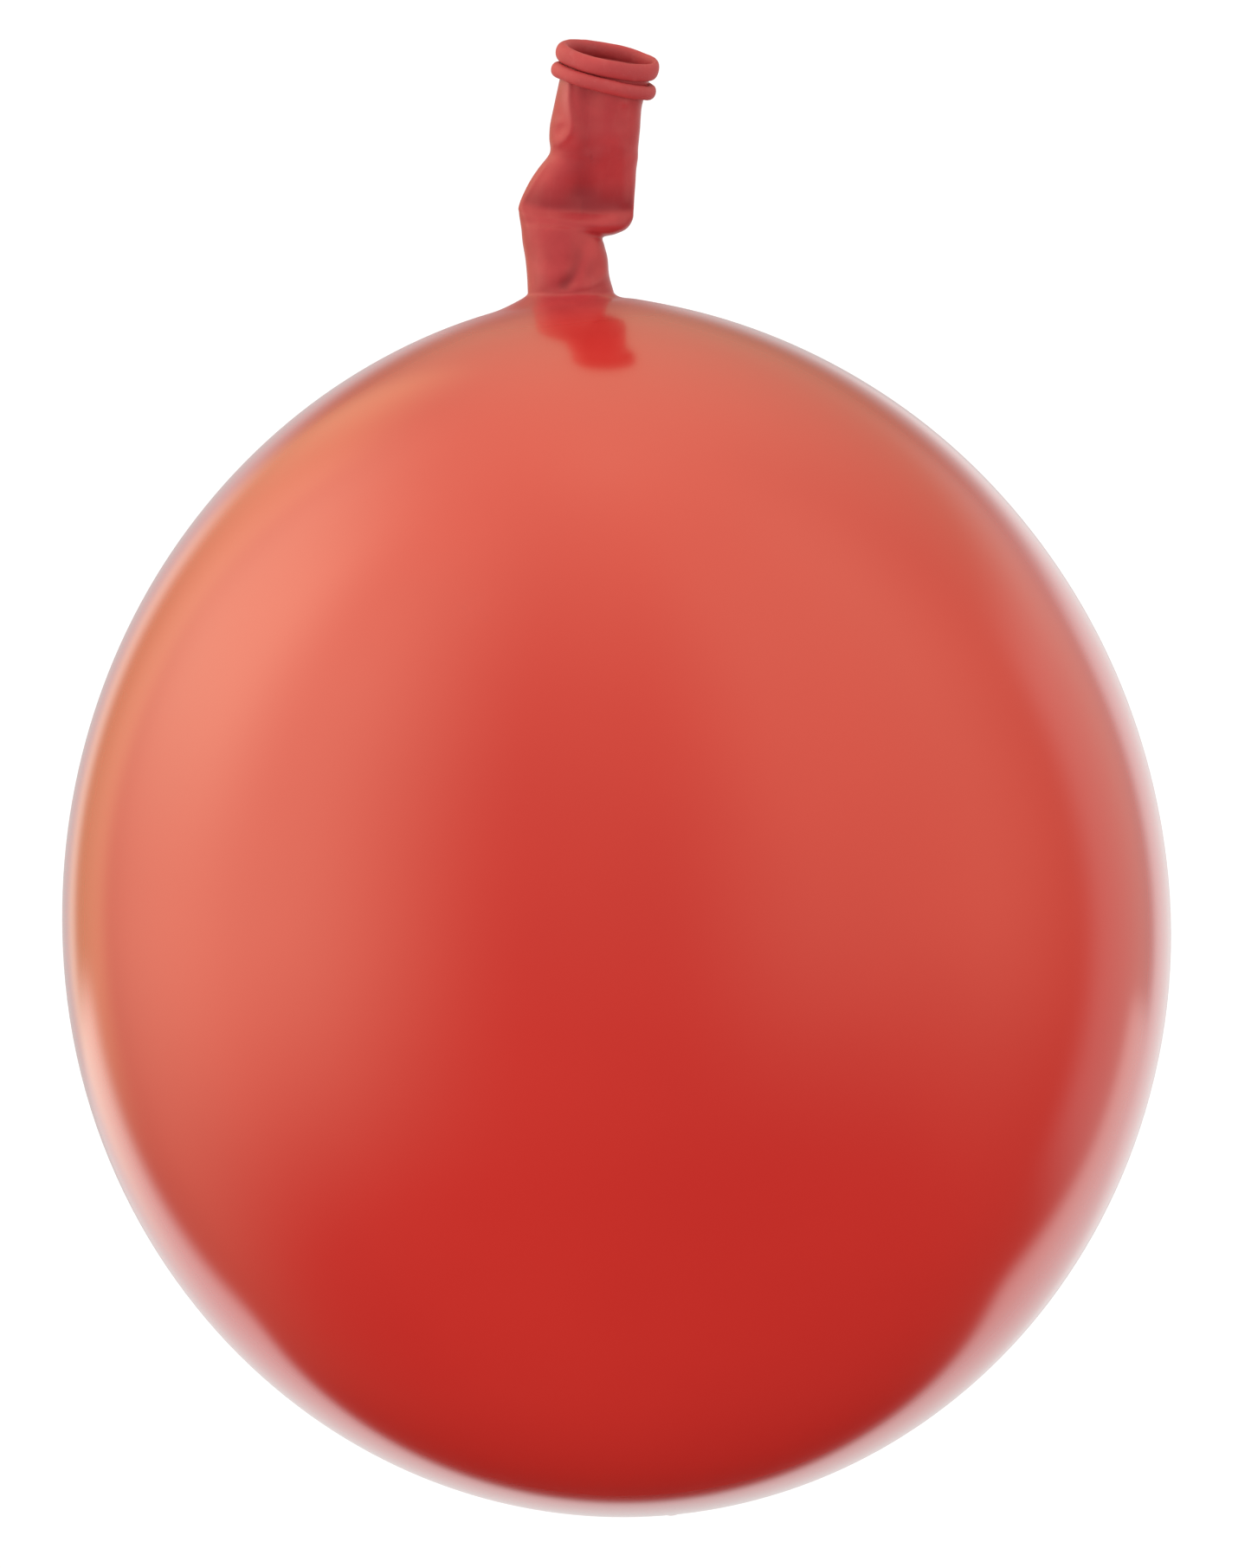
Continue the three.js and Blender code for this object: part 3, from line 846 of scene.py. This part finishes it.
def front_camera():
    """Level with the balloon, a little raised, leaning with the studio."""
    lens = bpy.data.cameras.new("front")
    lens.sensor_width = 36
    lens.lens = 36 * CAMERA_DISTANCE / VIEW_TALL
    camera = bpy.data.objects.new("front", lens)
    bpy.context.scene.collection.objects.link(camera)
    toward = Vector((0, -math.cos(CAMERA_RISE), 0)) + STUDIO_UP * math.sin(CAMERA_RISE)
    up = toward.cross(STUDIO_RIGHT).normalized()
    turned = Matrix((STUDIO_RIGHT, up, toward)).transposed()
    camera.matrix_world = Matrix.Translation(VIEW_AIM + toward * CAMERA_DISTANCE) @ turned.to_4x4()
    lens.clip_start, lens.clip_end = 0.05, 50
    bpy.context.scene.camera = camera


# ---------------------------------------------------------------- assembly

front_camera()
studio_light()
neck_lamp("neck_top_lamp", Vector((-0.75, -0.85, 1.75)), 0.18, 105)
neck_lamp("neck_side_lamp", Vector((-1.80, -0.95, 0.45)), 0.16, 26)
pale_floor()
bpy.context.scene.view_settings.view_transform = "Standard"

film = latex_film()
roll = latex_roll()
pale = latex_valve()

ROOT_SEAM = 1.0  # neck rings at which the skin is parted
LOWER_SEAM = 2.8

skin = make_skin()


def seam_height(station):
    """The outline height of the skin's ring nearest to a station."""
    along = skin.verts.layers.float["along"]
    wanted = neck_foot + station * STATION_RISE
    return min((vert[along] for vert in skin.verts), key=lambda value: abs(value - wanted))


def seam_levels(height):
    """The lowest and highest z of the skin's ring at an outline height."""
    along = skin.verts.layers.float["along"]
    levels = [vert.co.z for vert in skin.verts if abs(vert[along] - height) < EDGE]
    return min(levels), max(levels)


root_seam, lower_seam = seam_height(ROOT_SEAM), seam_height(LOWER_SEAM)
root_low, root_high = seam_levels(root_seam)
lower_low = seam_levels(lower_seam)[0]

body_film = part_film(skin, "body_film", -1.0, root_seam + EDGE, film)
neck_root_film = part_film(skin, "neck_root_film", root_seam - EDGE, lower_seam + EDGE, film)
neck_film = part_film(skin, "neck_film", lower_seam - EDGE, 1.0, film)
skin.free()

HAIR = 0.05 * MM  # keeps a seam's whole ring on one body
SWAY_REACH = 3.4 * MM  # film bends from this far below the sway hinge
FOLD_BELOW = 5 * MM
FOLD_ABOVE = 6 * MM
sway, nod, crease = hinge["neck_sway"], hinge["neck_nod"], hinge["neck_fold"]
sway_start, sway_end = (sway.x, 0, sway.z - SWAY_REACH), (sway.x, 0, root_low - HAIR)
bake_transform(body_film, "body", "neck_root", sway_start, sway_end)
nod_start, nod_end = (nod.x, 0, root_high + HAIR), (nod.x, 0, lower_low - HAIR)
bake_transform(neck_root_film, "neck_root", "neck_lower", nod_start, nod_end)
fold_axis = next(Vector(joint["axis"]) for joint in frame["joints"] if joint["name"] == "neck_fold")
fold_up = Vector((0, -1, 0)).cross(fold_axis).normalized()
if fold_up.z < 0:
    fold_up = -fold_up
fold_start, fold_end = crease - fold_up * FOLD_BELOW, crease + fold_up * FOLD_ABOVE
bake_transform(neck_film, "neck_lower", "neck_upper", fold_start, fold_end)
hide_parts("envelope")
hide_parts("neck_root")
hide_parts("neck_lower", "neck_upper")

mouth_roll = rolled_ring("mouth_roll", MOUTH_RING, roll)
second_roll = rolled_ring("second_roll", SECOND_RING, roll)
for ring, node in ((mouth_roll, "mouth_bead"), (second_roll, "second_bead")):
    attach(ring, "neck_upper")
    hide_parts(node)

collar = valve_collar(pale)
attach(collar, "body")
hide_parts("valve_collar")
for node, facing in (("valve_lip_front", -1), ("valve_lip_back", 1)):
    lip = valve_lip(node, facing, pale)
    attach(lip, node)
    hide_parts(node)
